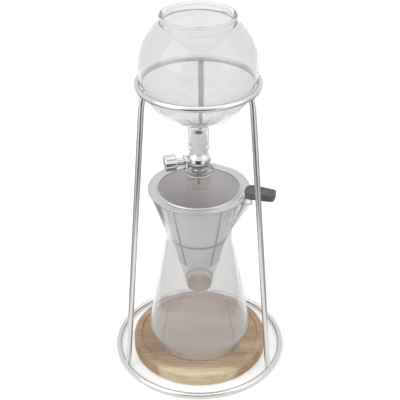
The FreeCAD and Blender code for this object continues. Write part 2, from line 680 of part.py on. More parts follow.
def stopper():
    """Silicone stopper that seals the valve's tube into the glass outlet."""
    body = new_body("outlet_stopper")
    top = f"({VALVE_TOP} + stopper_length)"
    bore = "(inlet_tube_radius + lap_gap)"
    turned(body, [
        (bore, VALVE_TOP),
        (f"{OUTLET_BORE} - lap_gap", VALVE_TOP),
        (f"{OUTLET_BORE} - lap_gap", f"{OUTLET_END} + outlet_bead_height"),
        (f"{OUTLET_BORE} - outlet_wall / 2", top),
        (bore, top),
    ])
    return body


def inlet_tube():
    """Steel tube that leads the water into the valve."""
    body = new_body("inlet_tube")
    foot = f"({VALVE_TOP} - socket_depth)"
    top = f"({VALVE_TOP} + stopper_length + inlet_tube_rise)"
    turned(body, [
        ("inlet_bore_radius", foot),
        ("inlet_tube_radius", foot),
        ("inlet_tube_radius", top),
        ("inlet_bore_radius", top),
    ])
    return body


def drilled(body, across, start, end, radius):
    """Upright passage of a body, beside its own Z axis."""
    sketch = new_sketch(body, "XY_Plane")
    bind(sketch, "AttachmentOffset.Base.z", end)
    centre = FreeCAD.Vector(size(across), 0, 0)
    number = sketch.addGeometry(Part.Circle(centre, FreeCAD.Vector(0, 0, 1), size(radius)), False)
    pin_point(sketch, number, 3, across, "0", "centre")
    constraint = sketch.addConstraint(Sketcher.Constraint("Radius", number, size(radius)))
    sketch.renameConstraint(constraint, "bore")
    bind(sketch, "Constraints.bore", radius)
    pocket = body.newObject("PartDesign::Pocket", "Drilled")
    pocket.Profile = sketch
    bind(pocket, "Length", f"{end} - ({start})")
    return pocket


def valve_body():
    """Polished barrel with a side boss. Its own origin is on the spindle, and +X runs to the knob."""
    body = new_body("valve_body")
    top = "valve_axis_drop"
    bottom = "(valve_axis_drop - valve_height)"
    turned(body, [
        ("0", bottom),
        ("valve_foot_radius", bottom),
        ("valve_radius", "0", "valve_lower_round", 1),
        ("valve_neck_radius", top, "valve_upper_round", 1),
        ("0", top),
    ])
    turned(body, [
        ("0", "0"),
        ("boss_reach", "0"),
        ("boss_reach", "boss_radius"),
        ("0", "boss_radius"),
    ], "H_Axis")
    socket = "inlet_tube_radius + lap_gap"
    turned(body, [
        ("0", f"{top} - socket_depth"),
        (socket, f"{top} - socket_depth"),
        (socket, f"{top} + socket_depth"),
        ("0", f"{top} + socket_depth"),
    ], kind="PartDesign::Groove")
    turned(body, [
        ("0", f"{bottom} - socket_depth"),
        ("nozzle_radius + lap_gap", f"{bottom} - socket_depth"),
        ("nozzle_radius + lap_gap", f"{bottom} + socket_depth / 2"),
        ("0", f"{bottom} + socket_depth / 2"),
    ], kind="PartDesign::Groove")
    bore = "spindle_radius + running_gap"
    turned(body, [
        ("0", "0"),
        ("2 * boss_reach", "0"),
        ("2 * boss_reach", "packing_radius"),
        ("boss_reach - packing_depth", "packing_radius"),
        ("boss_reach - packing_depth", bore),
        ("seat_reach", bore),
        ("seat_reach", "seat_radius"),
        ("0", "seat_radius"),
    ], "H_Axis", "PartDesign::Groove")
    drilled(body, "inlet_drill_offset", "0", f"({top} - socket_depth + lap_gap)", "drill_radius")
    drilled(body, "0", f"{bottom} + socket_depth / 4", "0", "drill_radius")
    place(body, SPINDLE_HEIGHT, "knob_azimuth")
    return body


def needle():
    """Tapered needle that closes the seat. Along +X, its tip in the seat."""
    body = new_body("needle")
    turned(body, [
        ("seat_reach - needle_tip_length", "0"),
        ("seat_reach - needle_tip_length", "seat_radius / 4"),
        ("seat_reach", "seat_radius - running_gap"),
        ("seat_reach + lap_gap", "seat_radius - running_gap"),
        ("seat_reach + seat_radius", "needle_radius"),
        ("needle_end", "needle_radius"),
        ("needle_end", "0"),
    ], "H_Axis")
    place(body, SPINDLE_HEIGHT, "knob_azimuth")
    return body


def spindle_seal():
    """Seal ring round the spindle, in the boss."""
    ring = doc.addObject("Part::Torus", "spindle_seal")
    ring.Label = "spindle_seal"
    bind(ring, "Radius1", "spindle_radius + running_gap + seal_section / 2")
    bind(ring, "Radius2", "seal_section / 2")
    flat = FreeCAD.Rotation(FreeCAD.Vector(0, 1, 0), 90)
    turn = FreeCAD.Rotation(FreeCAD.Vector(0, 0, 1), size("knob_azimuth"))
    ring.Placement = FreeCAD.Placement(FreeCAD.Vector(0, 0, 0), turn.multiply(flat))
    reach = "(boss_reach - packing_depth + lap_gap + seal_section / 2)"
    bind(ring, "Placement.Base.x", f"{reach} * cos(knob_azimuth)")
    bind(ring, "Placement.Base.y", f"{reach} * sin(knob_azimuth)")
    bind(ring, "Placement.Base.z", SPINDLE_HEIGHT)
    return ring


def gland_nut():
    """Hexagon nut that presses the seal into the boss."""
    body = new_body("gland_nut")
    sketch = new_sketch(body, "YZ_Plane")
    bind(sketch, "AttachmentOffset.Base.z", "boss_reach")
    corner = "gland_flats / 2 / cos(30)"
    corners = [(f"{corner} * cos({60 * step})", f"{corner} * sin({60 * step})") for step in range(6)]
    corners = [(across, "0" if step % 3 == 0 else along) for step, (across, along) in enumerate(corners)]
    draw_outline(sketch, corners)
    hexagon = body.newObject("PartDesign::Pad", "Hexagon")
    hexagon.Profile = sketch
    bind(hexagon, "Length", "gland_thickness")
    turned(body, [
        ("boss_reach - gland_spigot", "0"),
        ("boss_reach + lap_gap", "0"),
        ("boss_reach + lap_gap", "packing_radius - lap_gap"),
        ("boss_reach - gland_spigot", "packing_radius - lap_gap"),
    ], "H_Axis")
    face = "(boss_reach + gland_thickness)"
    bore = "spindle_radius + running_gap"
    turned(body, [
        ("boss_reach - 2 * gland_spigot", "0"),
        (f"{face} + gland_thickness", "0"),
        (f"{face} + gland_thickness", bore),
        ("boss_reach - 2 * gland_spigot", bore),
    ], "H_Axis", "PartDesign::Groove")
    turned(body, [
        (face, "gland_flats / 2 - gland_thickness / 8"),
        (face, "gland_flats"),
        (f"{face} - gland_thickness / 4", "gland_flats"),
        (f"{face} - gland_thickness / 4", corner),
    ], "H_Axis", "PartDesign::Groove")
    place(body, SPINDLE_HEIGHT, "knob_azimuth")
    return body


def knob_spindle():
    """Turning spindle between the needle and the knob."""
    body = new_body("knob_spindle")
    end = "(knob_start + knob_bore_depth - lap_gap)"
    turned(body, [
        ("needle_end", "0"),
        ("needle_end", "spindle_radius"),
        (end, "spindle_radius"),
        (end, "0"),
    ], "H_Axis")
    place(body, SPINDLE_HEIGHT, "knob_azimuth")
    return body


def valve_knob():
    """Plain polished knob with a hub, rounded edges, a spindle bore and a screw hole at its back."""
    body = new_body("valve_knob")
    hub_start = "(boss_reach + gland_thickness + hub_gap)"
    turned(body, [
        (hub_start, "0"),
        (hub_start, "hub_radius"),
        ("knob_start", "hub_radius"),
        ("knob_start", "knob_radius - knob_round"),
        ("knob_start + knob_round", "knob_radius", "knob_round", -1),
        ("knob_end - knob_round", "knob_radius"),
        ("knob_end", "knob_radius - knob_round", "knob_round", -1),
        ("knob_end", "0"),
    ], "H_Axis")
    turned(body, [
        ("0", "0"),
        ("knob_start + knob_bore_depth", "0"),
        ("knob_start + knob_bore_depth", "spindle_radius + lap_gap"),
        ("0", "spindle_radius + lap_gap"),
    ], "H_Axis", "PartDesign::Groove")
    drilled(body, "knob_start + screw_inset", "-knob_radius - screw_radius", "-spindle_radius / 2",
            "screw_radius + lap_gap")
    place(body, SPINDLE_HEIGHT, "knob_azimuth")
    return body


def knob_screw():
    """Grub screw under the knob that holds it on the spindle."""
    body = new_body("knob_screw")
    tip = "(-spindle_radius - lap_gap)"
    end = f"({tip} - screw_length)"
    turned(body, [
        ("0", tip),
        ("screw_radius", tip),
        ("screw_radius", end),
        ("screw_radius / 2", end),
        ("screw_radius / 2", f"{end} + screw_length / 3"),
        ("0", f"{end} + screw_length / 3"),
    ])
    reach = "(knob_start + screw_inset)"
    place(body, SPINDLE_HEIGHT, "knob_azimuth")
    bind(body, "Placement.Base.x", f"{reach} * cos(knob_azimuth)")
    bind(body, "Placement.Base.y", f"{reach} * sin(knob_azimuth)")
    return body


def collar_nut():
    """Round nut under the valve body that holds the nozzle and the shroud."""
    body = new_body("collar_nut")
    bore = "(nozzle_radius + lap_gap)"
    nut = turned(body, [
        (bore, NUT_UNDER),
        ("nut_radius", NUT_UNDER),
        ("nut_radius", VALVE_BOTTOM),
        (bore, VALVE_BOTTOM),
    ])
    round_edges(body, nut, [("nut_radius", NUT_UNDER), ("nut_radius", VALVE_BOTTOM)], "nut_round")
    return body


def drip_nozzle():
    """Nozzle from the valve body down to the drip point."""
    body = new_body("drip_nozzle")
    top = f"({VALVE_BOTTOM} + socket_depth / 2 - lap_gap)"
    step = f"({NUT_UNDER} - nozzle_length)"
    end = f"({step} - tip_length)"
    turned(body, [
        ("nozzle_bore", end),
        ("tip_radius", end),
        ("(tip_radius + nozzle_radius) / 2", step),
        ("nozzle_radius", step),
        ("nozzle_radius", top),
        ("nozzle_bore", top),
    ])
    return body


def drip_shroud():
    """Clear sleeve that keeps stray drops inside the filter."""
    body = new_body("drip_shroud")
    end = f"({SHROUD_PLATE_UNDER} - shroud_length)"
    lip_top = f"({NUT_UNDER} + shroud_lip_rise)"
    turned(body, [
        ("nozzle_radius + lap_gap", SHROUD_PLATE_UNDER),
        ("shroud_top_radius - shroud_wall", SHROUD_PLATE_UNDER),
        ("shroud_bottom_radius - shroud_wall", end),
        ("shroud_bottom_radius", end),
        ("shroud_top_radius", SHROUD_PLATE_UNDER),
        ("shroud_lip_radius", lip_top, "3 * shroud_wall", 1),
        ("shroud_lip_radius - shroud_wall", lip_top),
        ("shroud_top_radius - shroud_wall", NUT_UNDER, "2 * shroud_wall", -1),
        ("nozzle_radius + lap_gap", NUT_UNDER),
    ])
    return body


base_ring = rod_ring("base_ring", "base_ring_radius", "rod_diameter / 2")
top_ring = rod_ring("top_ring", "top_ring_radius", "top_ring_height")
rings = [base_ring, top_ring]
pieces = [
    base_ring,
    top_ring,
    leg("leg_right", "front_leg_azimuth", rings),
    leg("leg_left", "front_leg_azimuth - 120", rings),
    leg("leg_back", "front_leg_azimuth + 120", rings),
    wood_base(),
    carafe_glass(),
    filter_rim(),
    mesh_cone("outer_mesh", "0"),
    mesh_cone("inner_mesh", "(mesh_thickness + mesh_spacing)"),
    filter_frame(),
    filter_cap(),
    handle_tab(),
    handle_grip(),
    reservoir_globe(),
    outlet_tube(),
    stopper(),
    inlet_tube(),
    valve_body(),
    needle(),
    spindle_seal(),
    gland_nut(),
    knob_spindle(),
    valve_knob(),
    knob_screw(),
    collar_nut(),
    drip_nozzle(),
    drip_shroud(),
]

doc.recompute()
faults = [f"{item.Label}: {item.State}" for item in doc.Objects if {"Invalid", "Error"} & set(item.State)]
faults += [f"{piece.Label}: bad shape" for piece in pieces if piece.Shape.isNull() or not piece.Shape.isValid()]
if faults:
    raise RuntimeError("; ".join(faults))

os.makedirs("parts", exist_ok=True)
for piece in pieces:
    piece.Shape.exportStep(f"parts/{piece.Label}.step")
    extent = piece.Shape.BoundBox
    print(f"{piece.Label:16s} solids {len(piece.Shape.Solids)} volume {piece.Shape.Volume:10.1f}"
          f" z {extent.ZMin:7.2f} to {extent.ZMax:7.2f} x {extent.XMin:7.2f} to {extent.XMax:7.2f}")
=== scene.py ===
"""Cold drip coffee tower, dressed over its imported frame. Metres, +Z up, -Y to the front."""
import math

import bmesh
import bpy
from mathutils import Matrix, Vector


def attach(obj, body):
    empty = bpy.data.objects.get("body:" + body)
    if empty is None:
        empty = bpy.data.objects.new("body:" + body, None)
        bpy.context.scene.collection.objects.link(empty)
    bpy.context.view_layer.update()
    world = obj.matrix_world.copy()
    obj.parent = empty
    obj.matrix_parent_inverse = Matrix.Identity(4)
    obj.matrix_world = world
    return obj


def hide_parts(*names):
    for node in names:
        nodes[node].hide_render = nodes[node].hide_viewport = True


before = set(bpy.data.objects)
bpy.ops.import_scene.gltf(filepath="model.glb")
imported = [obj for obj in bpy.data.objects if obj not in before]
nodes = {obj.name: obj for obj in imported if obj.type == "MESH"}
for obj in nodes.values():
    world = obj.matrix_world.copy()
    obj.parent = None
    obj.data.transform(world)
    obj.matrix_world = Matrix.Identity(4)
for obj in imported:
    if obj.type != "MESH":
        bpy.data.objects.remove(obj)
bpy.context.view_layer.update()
MM = 0.001

# The view: a short telephoto from the front and above, its place worked out from the rings and legs.
camera_spot = Vector((35.924, -804.386, 688.606)) * MM
camera_yaw, camera_pitch, camera_roll = (math.radians(angle) for angle in (2.47586, 31.7017, -0.218108))
forward = Vector((-math.sin(camera_yaw) * math.cos(camera_pitch),
                  math.cos(camera_yaw) * math.cos(camera_pitch), -math.sin(camera_pitch)))
level = Vector((math.cos(camera_yaw), math.sin(camera_yaw), 0))
upright = level.cross(forward)
sideways = level * math.cos(camera_roll) + upright * math.sin(camera_roll)
upright = upright * math.cos(camera_roll) - level * math.sin(camera_roll)
lens = bpy.data.cameras.new("view_from_front")
lens.sensor_width = 36
lens.lens = 81.607
lens.clip_start, lens.clip_end = 0.05, 20
camera = bpy.data.objects.new("view_from_front", lens)
bpy.context.scene.collection.objects.link(camera)
facing = Matrix((sideways, upright, -forward)).transposed().to_4x4()
camera.matrix_world = Matrix.Translation(camera_spot) @ facing
bpy.context.scene.camera = camera
bpy.context.scene.view_settings.view_transform = "Standard"


def add(tree, kind, settings=(), inputs=(), **links):
    """Adds a node with its settings and socket values, and links sockets into it by position or name."""
    node = tree.nodes.new(kind)
    for name, value in dict(settings).items():
        setattr(node, name, value)
    for name, value in dict(inputs).items():
        node.inputs[name].default_value = value
    for name, socket in links.items():
        key = int(name[1:]) if name[0] == "_" and name[1:].isdigit() else name.replace("_", " ")
        tree.links.new(socket, node.inputs[key])
    return node


def hex_colour(code):
    """Linear colour of an sRGB hex value."""
    parts = [int(code[place:place + 2], 16) / 255 for place in (1, 3, 5)]
    return (*[part / 12.92 if part <= 0.04045 else ((part + 0.055) / 1.055) ** 2.4 for part in parts], 1)


def new_material(name, **sockets):
    """Material with one Principled shader, whose plain values are given by socket name."""
    material = bpy.data.materials.new(name)
    material.use_nodes = True
    shader = material.node_tree.nodes["Principled BSDF"]
    for socket, value in sockets.items():
        shader.inputs[socket.replace("_", " ")].default_value = value
    return material, material.node_tree, shader


def looked_at(tree):
    """Socket that is 1 where the camera, a reflection or clear glass looks, and 0 for light on its way."""
    ray = add(tree, "ShaderNodeLightPath")
    seen = add(tree, "ShaderNodeMath", {"operation": "MAXIMUM"}, _0=ray.outputs["Is Camera Ray"],
               _1=ray.outputs["Is Glossy Ray"])
    seen = add(tree, "ShaderNodeMath", {"operation": "MAXIMUM"}, _0=seen.outputs[0],
               _1=ray.outputs["Is Transmission Ray"])
    return seen.outputs[0]


# The stage: white paper that keeps a faint shadow, and soft white light from all round.
# The room is plain white to look at, and lights the tower a little less strongly than that.
ROOM_LIGHT = 0.65
bpy.ops.mesh.primitive_plane_add(size=6)
floor = bpy.context.object
floor.name = "white_paper"
paper, tree, shader = new_material("white_paper", Base_Color=hex_colour("#F4F4F4"), Roughness=0.9,
                                    Specular_IOR_Level=0.0)
lift = add(tree, "ShaderNodeMath", {"operation": "MULTIPLY"}, {1: 0.22}, _0=looked_at(tree))
tree.links.new(lift.outputs[0], shader.inputs["Emission Strength"])
shader.inputs["Emission Color"].default_value = (1, 1, 1, 1)
floor.data.materials.append(paper)

world = bpy.data.worlds.new("white_room")
bpy.context.scene.world = world
world.use_nodes = True
tree = world.node_tree
sky = tree.nodes["Background"]
strength = add(tree, "ShaderNodeMath", {"operation": "MULTIPLY_ADD"},
               {1: 1 - ROOM_LIGHT, 2: ROOM_LIGHT}, _0=looked_at(tree))
tree.links.new(strength.outputs[0], sky.inputs["Strength"])
sky.inputs["Color"].default_value = (1, 1, 1, 1)

TOWER_MIDDLE = Vector((0, 0, 0.2))
for name, spot, watts, across in (("left_softbox", (-1.6, -1.2, 1.6), 20, 2.0),
                                  ("right_softbox", (1.7, -0.7, 1.3), 6, 1.6),
                                  ("top_softbox", (0.0, 0.3, 2.1), 12, 2.0)):
    lamp = bpy.data.lights.new(name, "AREA")
    lamp.energy, lamp.size = watts, across
    holder = bpy.data.objects.new(name, lamp)
    bpy.context.scene.collection.objects.link(holder)
    holder.location = spot
    holder.rotation_euler = (TOWER_MIDDLE - Vector(spot)).to_track_quat("-Z", "Y").to_euler()
    holder.visible_camera = False

# Cards that only reflections show: a dark one on the paper in front and an upright one at its far end give
# the steel its dark lines, and grey ones beside the tower keep its edges from melting into the white.
UPRIGHT = (math.pi / 2, 0, 0)
for name, spot, turn, across, along, code in (
        ("dark_card", (-0.02, -0.80, 0.0004), (0, 0, 0), 0.66, 0.8, "#4C4C4C"),
        ("dark_screen", (-0.02, -1.2, 0.22), UPRIGHT, 1.5, 0.44, "#1E1E1E"),
        ("grey_card_left", (-0.62, 0.1, 0.0004), (0, 0, 0), 0.9, 0.9, "#B2B2B2"),
        ("grey_card_right", (0.62, 0.1, 0.0004), (0, 0, 0), 0.9, 0.9, "#B2B2B2")):
    bpy.ops.mesh.primitive_plane_add(size=1, location=spot, rotation=turn)
    flag = bpy.context.object
    flag.name = name
    flag.scale = (across, along, 1)
    card, tree, shader = new_material(name, Base_Color=hex_colour(code), Roughness=1.0)
    flag.data.materials.append(card)
    flag.visible_camera = flag.visible_diffuse = flag.visible_transmission = flag.visible_shadow = False


# The stand: 6 mm stainless rod, rolled into two rings and welded to three leaning legs.
# The ring on the table and the ring round the globe are butt-welded at the back and ground flush.
ROD = 3.0
BASE_RING, TOP_RING, TOP_RING_HEIGHT = 92.0, 59.6, 324.9
SEAM_WIDTH, SEAM_RISE = 1.4, 0.03


def only(name, body, *replaced, slot=None, angle=40):
    """Finishes the active piece: leaves edit mode, names it, smooths it and lets it ride on its body."""
    if bpy.context.object.mode == "EDIT":
        bpy.ops.object.mode_set(mode="OBJECT")
    piece = bpy.context.object
    bpy.ops.object.transform_apply(location=True, rotation=True, scale=True)
    bpy.ops.object.shade_smooth_by_angle(angle=math.radians(angle))
    piece.name = piece.data.name = name
    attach(piece, body)
    if replaced:
        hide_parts(*replaced)
    bpy.ops.object.select_all(action="DESELECT")
    return piece


# Stainless rod, drawn and satin: fine marks along it blur its reflections a little.
satin_rod, tree, shader = new_material("drawn_stainless_rod", Base_Color=hex_colour("#D2D1CF"), Metallic=1.0)
place = add(tree, "ShaderNodeTexCoord")
scratch = add(tree, "ShaderNodeTexNoise", {}, {"Scale": 900, "Detail": 3}, Vector=place.outputs["Object"])
dull = add(tree, "ShaderNodeMapRange", {}, {"To Min": 0.15, "To Max": 0.27}, Value=scratch.outputs["Fac"])
tree.links.new(dull.outputs[0], shader.inputs["Roughness"])
relief = add(tree, "ShaderNodeBump", {}, {"Strength": 0.05, "Distance": 0.0001},
             Height=scratch.outputs["Fac"])
tree.links.new(relief.outputs[0], shader.inputs["Normal"])

bpy.ops.object.select_all(action="DESELECT")
for name, radius, height in (("base_ring_rod", BASE_RING, ROD), ("top_ring_rod", TOP_RING, TOP_RING_HEIGHT)):
    bpy.ops.mesh.primitive_torus_add(major_radius=radius * MM, minor_radius=ROD * MM, major_segments=180,
                                     minor_segments=24, location=(0, 0, height * MM))
    piece = bpy.context.object
    for vertex in piece.data.vertices:
        seam = math.exp(-((vertex.co.x / (SEAM_WIDTH * MM)) ** 2)) if vertex.co.y > 0 else 0
        centre = Vector((vertex.co.x, vertex.co.y, 0)).normalized() * radius * MM
        vertex.co = centre + (vertex.co - centre) * (1 + SEAM_RISE * seam)
    piece = only(name, "stand", name.replace("_rod", ""), slot="satin_rod")
    piece.data.materials.append(satin_rod)

# Legs: cut from the same rod, bent a little below the top ring. Each foot stands inside the base ring,
# and each end lies against the top ring.
LEG_FOOT, LEG_SHOULDER, LEG_END, BEND = (89.2, 3.8), (61.1, 312.9), (59.2, 322.2), 14.0
for name, azimuth in (("leg_right", -30), ("leg_left", -150), ("leg_back", 90)):
    turn = Matrix.Rotation(math.radians(azimuth), 3, "Z")
    foot, shoulder, end = (turn @ Vector((reach, 0, height)) * MM
                           for reach, height in (LEG_FOOT, LEG_SHOULDER, LEG_END))
    rise, last = (shoulder - foot).normalized(), (end - shoulder).normalized()
    bend = rise.angle(last)
    hinge = rise.cross(last).normalized()
    run_in = BEND * MM * math.tan(bend / 2)
    bpy.ops.mesh.primitive_circle_add(vertices=28, radius=ROD * MM, fill_type="NGON", location=foot,
                                      rotation=rise.to_track_quat("Z", "Y").to_euler())
    bpy.ops.object.mode_set(mode="EDIT")
    bpy.ops.mesh.select_all(action="SELECT")
    bpy.ops.mesh.extrude_region_move(TRANSFORM_OT_translate={"value": shoulder - foot - rise * run_in})
    bend_centre = shoulder - rise * run_in + hinge.cross(rise) * BEND * MM
    bpy.ops.mesh.spin(steps=8, angle=bend, center=bend_centre, axis=-hinge)
    bpy.ops.mesh.extrude_region_move(TRANSFORM_OT_translate={"value": end - shoulder - last * run_in})
    bpy.ops.mesh.select_all(action="SELECT")
    bpy.ops.mesh.remove_doubles(threshold=0.00001)
    bpy.ops.mesh.normals_make_consistent(inside=False)
    piece = only(f"{name}_rod", "stand", name, slot="satin_rod")
    piece.data.materials.append(satin_rod)


# The disc: acacia, turned on a lathe, with a shallow recess for the carafe and both edges rounded over.
# The grain runs from left to right, and pale sapwood shows along the front edge.
def rounded(corners):
    """Points in mm along an outline of (radius, height, fillet radius), with its corners rounded."""
    line = []
    count = len(corners)
    for index, corner in enumerate(corners):
        here = Vector(corner[:2])
        if len(corner) < 3:
            line.append(here)
            continue
        before = (Vector(corners[index - 1][:2]) - here).normalized()
        after = (Vector(corners[(index + 1) % count][:2]) - here).normalized()
        half = before.angle(after) / 2
        run = corner[2] / math.tan(half)
        centre = here + (before + after).normalized() * corner[2] / math.sin(half)
        first = here + before * run - centre
        sweep = math.pi - 2 * half
        if first.x * (here - centre).y - first.y * (here - centre).x < 0:
            sweep = -sweep
        steps = max(4, math.ceil(abs(sweep) / math.radians(9)))
        for step in range(steps + 1):
            angle = sweep * step / steps
            line.append(centre + Vector((first.x * math.cos(angle) - first.y * math.sin(angle),
                                         first.x * math.sin(angle) + first.y * math.cos(angle))))
    return line


def arc(centre, radius, start, end, steps):
    """Points in mm on an arc from start to end degrees, counted from outwards to up."""
    angles = [math.radians(start + (end - start) * step / steps) for step in range(steps + 1)]
    return [Vector((centre[0] + radius * math.cos(angle),
                    centre[1] + radius * math.sin(angle))) for angle in angles]


def outlined(spots, closed=True):
    """Draws edges from spot to spot, and leaves the piece open in edit mode with all of it selected."""
    bpy.ops.mesh.primitive_plane_add(size=MM)
    bpy.ops.object.mode_set(mode="EDIT")
    bpy.ops.mesh.select_all(action="SELECT")
    bpy.ops.mesh.merge(type="CENTER")
    bpy.ops.transform.translate(value=spots[0])
    for before, after in zip(spots, spots[1:] + (spots[:1] if closed else [])):
        bpy.ops.mesh.extrude_vertices_move(TRANSFORM_OT_translate={"value": after - before})
    bpy.ops.mesh.select_all(action="SELECT")
    bpy.ops.mesh.remove_doubles(threshold=0.000001)


def turned(line, steps=128, foot=Vector((0, 0, 0)), axis=Vector((0, 0, 1)), side=Vector((1, 0, 0)),
           closed=True):
    """Spins an outline in mm about an axis, and leaves the piece open in edit mode."""
    outlined([foot * MM + side * point.x * MM + axis * point.y * MM for point in line], closed)
    bpy.ops.mesh.spin(steps=steps, angle=2 * math.pi, center=foot * MM, axis=axis)
    bpy.ops.mesh.select_all(action="SELECT")
    bpy.ops.mesh.remove_doubles(threshold=0.000002)
    bpy.ops.mesh.normals_make_consistent(inside=False)


DISC, DISC_TOP, RECESS, RECESS_FLOOR = 74.5, 16, 66, 14
turned(rounded([(0, 0), (DISC, 0, 2.5), (DISC, DISC_TOP, 4), (RECESS, DISC_TOP, 0.8),
                (RECESS, RECESS_FLOOR, 0.8), (0, RECESS_FLOOR)]))
disc = only("wood_disc", "stand", "wood_base", slot="acacia")

# Oiled acacia: broad bands of tone along the grain, and fine streaks of pores. The streaks are drawn
# 2 to 3 mm apart, wider than real ones, so that they show.
SAPWOOD_START, SAPWOOD_WANDER, SAPWOOD_BLUR = 0.067, 0.012, 0.004
acacia, tree, shader = new_material("oiled_acacia", Roughness=0.5)
place = add(tree, "ShaderNodeTexCoord")
along = add(tree, "ShaderNodeMapping", {}, {"Scale": (5, 60, 60)}, Vector=place.outputs["Object"])
figure = add(tree, "ShaderNodeTexNoise", {}, {"Scale": 1.0, "Detail": 4, "Distortion": 0.6},
             Vector=along.outputs[0])
fibres = add(tree, "ShaderNodeMapping", {}, {"Scale": (16, 420, 420)}, Vector=place.outputs["Object"])
fibre = add(tree, "ShaderNodeTexNoise", {}, {"Scale": 1.0, "Detail": 3}, Vector=fibres.outputs[0])
tones = add(tree, "ShaderNodeValToRGB", Fac=figure.outputs["Fac"])
ramp = tones.color_ramp
ramp.elements[0].position, ramp.elements[0].color = 0.30, hex_colour("#977A60")
ramp.elements[1].position, ramp.elements[1].color = 0.72, hex_colour("#B99F84")
for position, code in ((0.42, "#A1856C"), (0.56, "#AB8E74")):
    ramp.elements.new(position).color = hex_colour(code)
spot = add(tree, "ShaderNodeSeparateXYZ", Vector=place.outputs["Object"])
edge = add(tree, "ShaderNodeMath", {"operation": "MULTIPLY_ADD"}, {1: SAPWOOD_WANDER, 2: -SAPWOOD_START},
           _0=figure.outputs["Fac"])
depth = add(tree, "ShaderNodeMath", {"operation": "SUBTRACT"}, _0=edge.outputs[0], _1=spot.outputs["Y"])
sapwood = add(tree, "ShaderNodeMapRange", {}, {"From Min": 0.0, "From Max": SAPWOOD_BLUR},
              Value=depth.outputs[0])
paler = add(tree, "ShaderNodeMix", {"data_type": "RGBA"}, {"B": hex_colour("#D6C5A3")},
            Factor=sapwood.outputs[0], A=tones.outputs["Color"])
grain = add(tree, "ShaderNodeMapRange", {},
            {"From Min": 0.35, "From Max": 0.65, "To Min": 0.85, "To Max": 1.10}, Value=fibre.outputs["Fac"])
streaks = add(tree, "ShaderNodeMix", {"data_type": "RGBA", "blend_type": "MULTIPLY"}, {"Factor": 1.0},
              A=paler.outputs["Result"], B=grain.outputs[0])
tree.links.new(streaks.outputs["Result"], shader.inputs["Base Color"])
relief = add(tree, "ShaderNodeBump", {}, {"Strength": 0.25, "Distance": 0.0002}, Height=fibre.outputs["Fac"])
tree.links.new(relief.outputs[0], shader.inputs["Normal"])
disc.data.materials.append(acacia)


# The carafe: borosilicate glass, blown into a wide foot, narrow waist and open mouth, with a beak pulled
# out of the softened rim on the right. The rim is fire-polished.
WALL, WAIST, WAIST_HEIGHT, BELLY, BELLY_HEIGHT, MOUTH_REACH, MOUTH = 2.0, 34.4, 151, 57.2, 30, 51.6, 205.7
turned(rounded([(0, 14.9), (38, 14.8), (46, 14, 6), (52, 14, 4), (BELLY, BELLY_HEIGHT, 16),
                (WAIST, WAIST_HEIGHT, 46), (MOUTH_REACH, MOUTH, 0.9), (MOUTH_REACH - WALL, MOUTH, 0.9),
                (WAIST - WALL, WAIST_HEIGHT, 48), (BELLY - WALL, BELLY_HEIGHT, 14), (50, 16.4, 3),
                (0, 17.1)]), steps=144)
bpy.ops.object.mode_set(mode="OBJECT")
BEAK_AZIMUTH = math.radians(-20)
BEAK_HALF_ANGLE, BEAK_DEPTH, BEAK_REACH, BEAK_DIP = math.radians(15), 24, 8.4, 5.4
PINCH_HALF_ANGLE, PINCH_START, PINCH_LENGTH, PINCH = math.radians(60), 10, 42, 3.4


def swell(swing, half_angle):
    """Share of a pull that is whole at the beak's middle and fades out towards a half angle."""
    share = max(0, 1 - abs(swing) / half_angle)
    return share * share * (3 - 2 * share)


for vertex in bpy.context.object.data.vertices:
    swing = math.atan2(vertex.co.y, vertex.co.x) - BEAK_AZIMUTH
    depth = MOUTH - vertex.co.z / MM
    beak = swell(swing, BEAK_HALF_ANGLE)
    climb = max(0, 1 - depth / BEAK_DEPTH)
    hollow = math.sin(math.pi * min(1, max(0, (depth - PINCH_START) / PINCH_LENGTH)))
    pull = beak * BEAK_REACH * climb ** 3 - swell(swing, PINCH_HALF_ANGLE) * PINCH * hollow
    vertex.co += Vector((math.cos(BEAK_AZIMUTH), math.sin(BEAK_AZIMUTH), 0)) * pull * MM
    vertex.co.z -= BEAK_DIP * beak * climb ** 4 * MM
carafe = only("carafe_blown", "carafe", "carafe_glass", slot="glass")

# Borosilicate glass, blown: its walls wave a little. An index below its own 1.47 keeps the edges soft, and
# the small opaque share is the pale veil of light on it.
clear_glass, tree, shader = new_material("borosilicate_glass", Base_Color=hex_colour("#EAEAEA"),
                                         Roughness=0.0, IOR=1.35, Transmission_Weight=0.91)
place = add(tree, "ShaderNodeTexCoord")
waves = add(tree, "ShaderNodeTexNoise", {}, {"Scale": 22, "Detail": 1}, Vector=place.outputs["Object"])
relief = add(tree, "ShaderNodeBump", {}, {"Strength": 0.05, "Distance": 0.002}, Height=waves.outputs["Fac"])
tree.links.new(relief.outputs[0], shader.inputs["Normal"])
carafe.data.materials.append(clear_glass)
# The glass throws no shadow here and lets the room's light through. A real one's shadow is faint.
carafe.visible_shadow = carafe.visible_diffuse = False


# The filter: a flat stainless flange with a half-round bead, and two cones of woven mesh in a frame of
# strips. A polished cap closes the tip of the cones.
MOUTH_RADIUS, TIP_RADIUS, MESH_TOP, TIP_HEIGHT = 42.1, 12.2, 43.4, 80.2
FLANGE, FLANGE_UNDER, FLANGE_TOP, FLANGE_EDGE, FLANGE_GROOVE, BEAD = 53, 206.0, 207.2, 0.3, 0.25, 1.3
MESH_START, MESH_THICK, LINING, CAP_DEPTH = 4.05, 0.4, 0.9, 40
SLOPE = (MESH_TOP - TIP_RADIUS) / (FLANGE_UNDER - TIP_HEIGHT)


def cone_at(height, outset=0.0):
    """Outside radius of the outer mesh at a height, moved outwards by the outset, in mm."""
    return TIP_RADIUS + SLOPE * (height - TIP_HEIGHT) + outset


